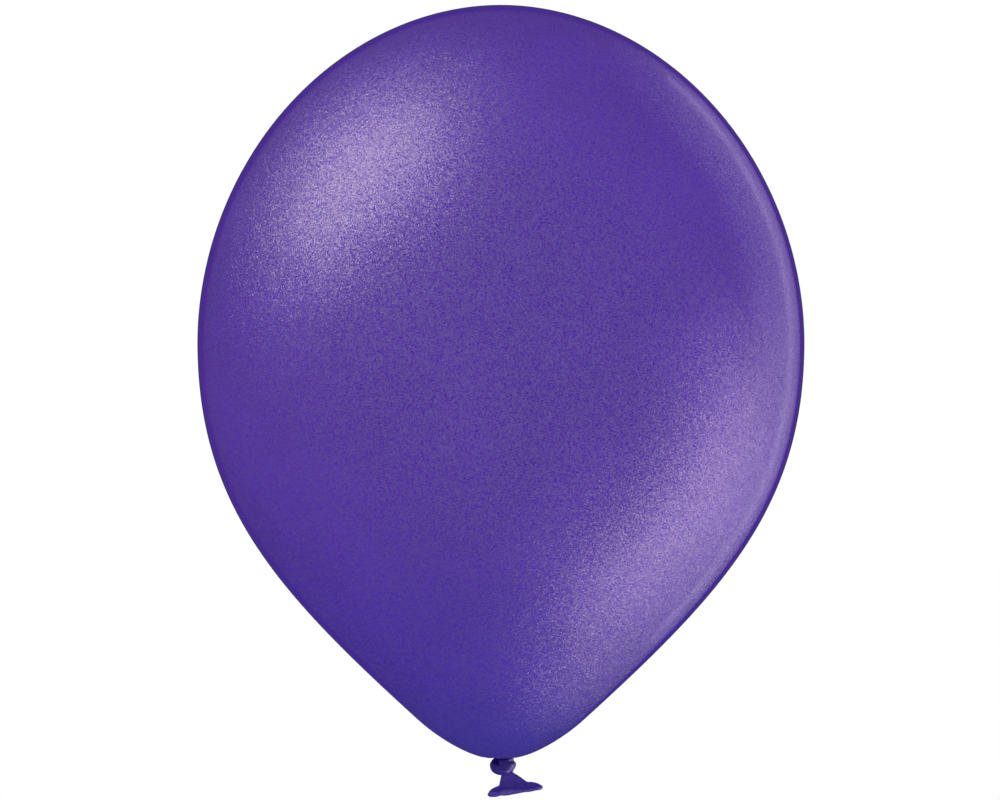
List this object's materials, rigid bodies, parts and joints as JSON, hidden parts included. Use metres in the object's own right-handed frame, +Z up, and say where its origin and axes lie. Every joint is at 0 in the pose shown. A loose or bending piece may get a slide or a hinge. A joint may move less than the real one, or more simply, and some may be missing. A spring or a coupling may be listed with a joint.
{
  "type": "inflated latex balloon",
  "caption": "Round-shouldered latex party balloon, inflated and tied, with a knotted neck and a flared tail ending in a rolled lip.",
  "frame": {"origin": "on the balloon's axis, level with the lowest point of the rolled lip, with the balloon hanging crown up", "axes": "+Z up along the balloon's axis towards the crown; +X to the right along the lip; +Y away from the viewer who faces the tail's front face"},
  "size_m": [0.3, 0.3, 0.3928],
  "materials": {
    "stretched_latex": "gloss",
    "gathered_latex": "gloss",
    "relaxed_latex": "satin"
  },
  "bodies": {
    "film": {"envelope": "stretched_latex"},
    "throat": {"neck": "gathered_latex"},
    "knot": {"knot_core": "gathered_latex", "knot_wrap": "gathered_latex"},
    "stem": {"tail_stem": "gathered_latex"},
    "tail": {"tail_sleeve": "relaxed_latex", "lip_bead": "relaxed_latex"}
  },
  "joints": [
    {"name": "neck_sway", "type": "hinge", "parent": "film", "child": "throat", "pos_m": [0, 0, 0.0263], "axis": [0, 1, 0], "range_deg": [-12, 12], "stiffness_Nm_per_rad": 0.002},
    {"name": "knot_nod", "type": "hinge", "parent": "throat", "child": "knot", "pos_m": [0, 0, 0.0216], "axis": [1, 0, 0], "range_deg": [-12, 12], "stiffness_Nm_per_rad": 0.002},
    {"name": "tail_twist", "type": "hinge", "parent": "knot", "child": "stem", "pos_m": [0.00306, 0, 0.01294], "axis": [-0.1409, 0, 0.99], "range_deg": [-90, 90], "stiffness_Nm_per_rad": 0.0005},
    {"name": "tail_flap", "type": "hinge", "parent": "stem", "child": "tail", "pos_m": [0.00613, 0, 0.00914], "axis": [0.99, 0, 0.1409], "range_deg": [-35, 35], "stiffness_Nm_per_rad": 0.0005}
  ]
}
